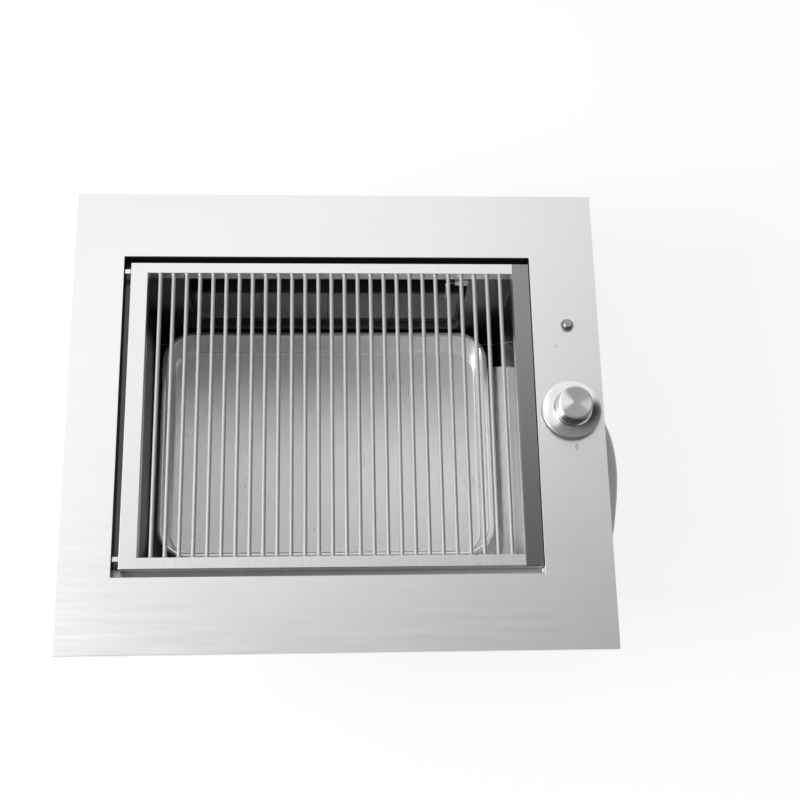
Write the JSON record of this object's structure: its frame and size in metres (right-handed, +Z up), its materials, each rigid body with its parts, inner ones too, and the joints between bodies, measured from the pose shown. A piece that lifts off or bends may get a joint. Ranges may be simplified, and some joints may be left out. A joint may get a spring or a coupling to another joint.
{
  "type": "built-in gas grill",
  "caption": "Drop-in gas grill: steel rim plate over a deep firebox, wire grate, lift-out drip tray, rear radiant burner, control knob, push-button igniter and gas hose.",
  "frame": {"origin": "under the middle of the rim plate, on the surface that the firebox stands on", "axes": "+X to the right-hand band with the knob, +Y to the back with the burner, +Z up"},
  "size_m": [0.5767, 0.541, 0.244],
  "materials": {
    "rim_steel": "fine brushed stainless steel",
    "sheet_steel": "plain mill-finish stainless sheet",
    "grate_steel": "satin stainless steel",
    "rod_steel": "bright drawn stainless rod",
    "tray_metal": "bright deep-drawn sheet",
    "knob_metal": "turned and polished metal",
    "burner_steel": "heat-darkened sheet",
    "ceramic": "porous burner ceramic",
    "white_ceramic": "glazed insulator ceramic",
    "brass": "machined brass",
    "valve_metal": "die-cast, lightly tumbled",
    "pipe_metal": "bent aluminium gas pipe",
    "zinc_steel": "zinc-plated fasteners",
    "black_plastic": "moulded heat-resistant plastic",
    "button_metal": "satin metal button",
    "seal_foam": "closed-cell sealing strip",
    "lead_silicone": "silicone lead insulation",
    "hose_braid": "rubber hose in a woven metal braid",
    "tie_plastic": "plastic strap"
  },
  "bodies": {
    "root": {"top_plate": "rim_steel", "rim_seal": "seal_foam", "firebox": "sheet_steel", "burner_housing": "sheet_steel", "burner_body": "burner_steel", "burner_tiles": "ceramic", "burner_frame": "burner_steel", "burner_feet": "sheet_steel", "housing_screws": "zinc_steel", "mixing_tube": "sheet_steel", "gas_injector": "brass", "pipe_nuts": "brass", "gas_pipe": "pipe_metal", "valve_body": "valve_metal", "valve_bonnet": "valve_metal", "bonnet_screws": "zinc_steel", "valve_bracket": "sheet_steel", "plate_studs": "zinc_steel", "stud_nuts": "zinc_steel", "igniter_body": "black_plastic", "igniter_nut": "zinc_steel", "spark_unit": "black_plastic", "spark_terminal": "brass", "button_spring": "zinc_steel", "electrode_insulator": "white_ceramic", "electrode_rod": "zinc_steel", "ignition_lead": "lead_silicone", "heat_shield": "sheet_steel", "shield_rivets": "zinc_steel", "inlet_union": "brass", "hose_nut_near": "brass", "hose_ferrule_near": "zinc_steel", "hose_run": "hose_braid", "hose_coil": "hose_braid", "hose_ferrule_far": "zinc_steel", "hose_nut_far": "brass", "hose_tie": "tie_plastic"},
    "plug": {"valve_plug": "brass", "knob_spring": "zinc_steel"},
    "knob": {"knob": "knob_metal", "valve_stem": "brass", "knob_screw": "zinc_steel"},
    "button": {"igniter_button": "button_metal"},
    "grate": {"grate_frame": "grate_steel", "grate_rods": "rod_steel", "grate_tabs": "grate_steel"},
    "tray": {"drip_tray": "tray_metal"},
    "shutter": {"air_shutter": "zinc_steel"}
  },
  "joints": [
    {"name": "knob_turn", "type": "hinge", "parent": "root", "child": "plug", "pos_m": [0.2275, 0, 0.15], "axis": [0, 0, 1], "range_deg": [0, 210]},
    {"name": "knob_push", "type": "slide", "parent": "plug", "child": "knob", "axis": [0, 0, -1], "range_m": [0, 0.0028], "stiffness_N_per_m": 1400, "springref_m": -0.0043, "deforming": ["knob_spring"]},
    {"name": "button_push", "type": "slide", "parent": "root", "child": "button", "axis": [0, 0, -1], "range_m": [0, 0.004], "stiffness_N_per_m": 1500, "springref_m": -0.004, "deforming": ["button_spring"]},
    {"name": "grate_lift", "type": "slide", "parent": "root", "child": "grate", "axis": [0, 0, 1], "range_m": [0, 0.25]},
    {"name": "tray_lift", "type": "slide", "parent": "root", "child": "tray", "axis": [0, 0, 1], "range_m": [0, 0.155]},
    {"name": "air_shutter_turn", "type": "hinge", "parent": "root", "child": "shutter", "pos_m": [0.1565, 0.1788, 0.108], "axis": [1, 0, 0], "range_deg": [0, 90]}
  ]
}
